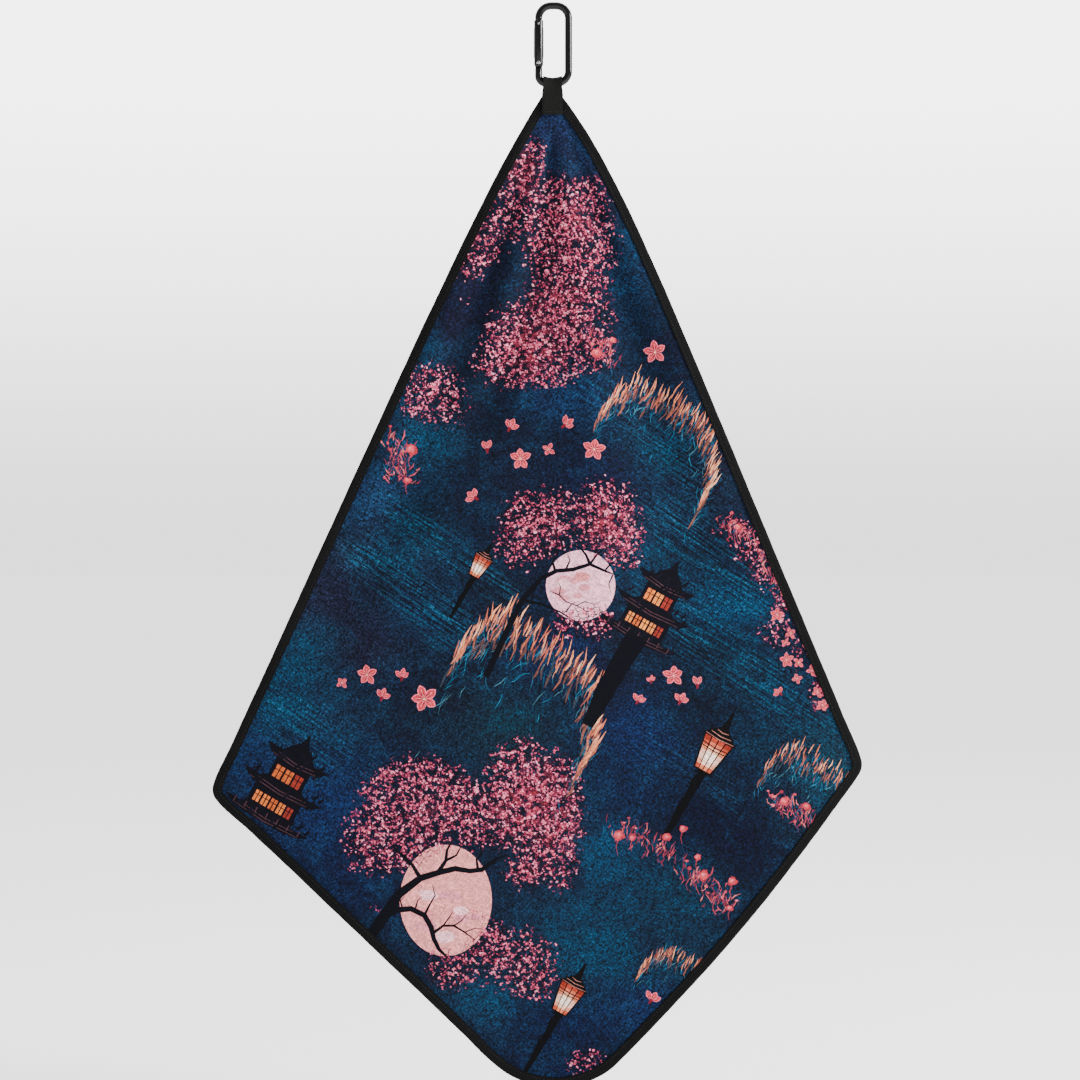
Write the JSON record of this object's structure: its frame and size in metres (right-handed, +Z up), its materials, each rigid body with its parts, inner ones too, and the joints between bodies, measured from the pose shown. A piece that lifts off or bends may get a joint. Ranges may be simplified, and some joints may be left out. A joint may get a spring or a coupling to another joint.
{
  "type": "golf towel",
  "caption": "Kite-shaped printed microfibre golf towel, bound all round, hung by one corner from a webbing loop on a small black spring-gate carabiner.",
  "frame": {"origin": "seat inside the top bow of the carabiner, where it hangs on a ring", "axes": "+Z up against the hang of the towel, -Y out of the printed face, +X to the right seen from the front, towards the back of the carabiner"},
  "size_m": [0.4901, 0.0256, 0.8147],
  "materials": {
    "carabiner_enamel": "gloss black enamel on aluminium wire",
    "gate_enamel": "gloss black enamel on a turned aluminium gate",
    "pin_steel": "bright rivet steel",
    "spring_steel": "drawn spring wire",
    "plunger_brass": "turned, lightly oiled",
    "webbing": "black ribbed polyester webbing",
    "sewing_thread": "twisted polyester thread, slight sheen",
    "printed_microfibre": "matt suede-like microfibre with a dense dark blue print",
    "binding_tape": "matt black folded binding tape"
  },
  "bodies": {
    "carabiner": {"carabiner_frame": "carabiner_enamel", "gate_hinge_pin": "pin_steel"},
    "gate": {"gate": "gate_enamel", "gate_latch_pin": "pin_steel", "gate_spring": "spring_steel"},
    "plunger": {"gate_plunger": "plunger_brass"},
    "towel": {"hanging_loop": "webbing", "loop_tack_front": "sewing_thread", "loop_tack_back": "sewing_thread", "towel_cloth": "printed_microfibre", "edge_binding": "binding_tape", "binding_needle_thread": "sewing_thread", "binding_bobbin_thread": "sewing_thread"}
  },
  "joints": [
    {"name": "gate_hinge", "type": "hinge", "parent": "carabiner", "child": "gate", "pos_m": [-0.0104, 0, -0.0404], "axis": [0, 1, 0], "range_deg": [0, 26], "stiffness_Nm_per_rad": 0.12, "springref_deg": -28.65},
    {"name": "plunger_slide", "type": "slide", "parent": "gate", "child": "plunger", "axis": [0, 0, 1], "range_m": [0, 0.001], "deforming": ["gate_spring"]},
    {"name": "towel_swing", "type": "hinge", "parent": "carabiner", "child": "towel", "pos_m": [0, 0, -0.0553], "axis": [1, 0, 0], "range_deg": [-75, 75]}
  ],
  "couplings": [
    {"joint": "plunger_slide", "follows": "gate_hinge", "m_per_rad": 0.002}
  ]
}
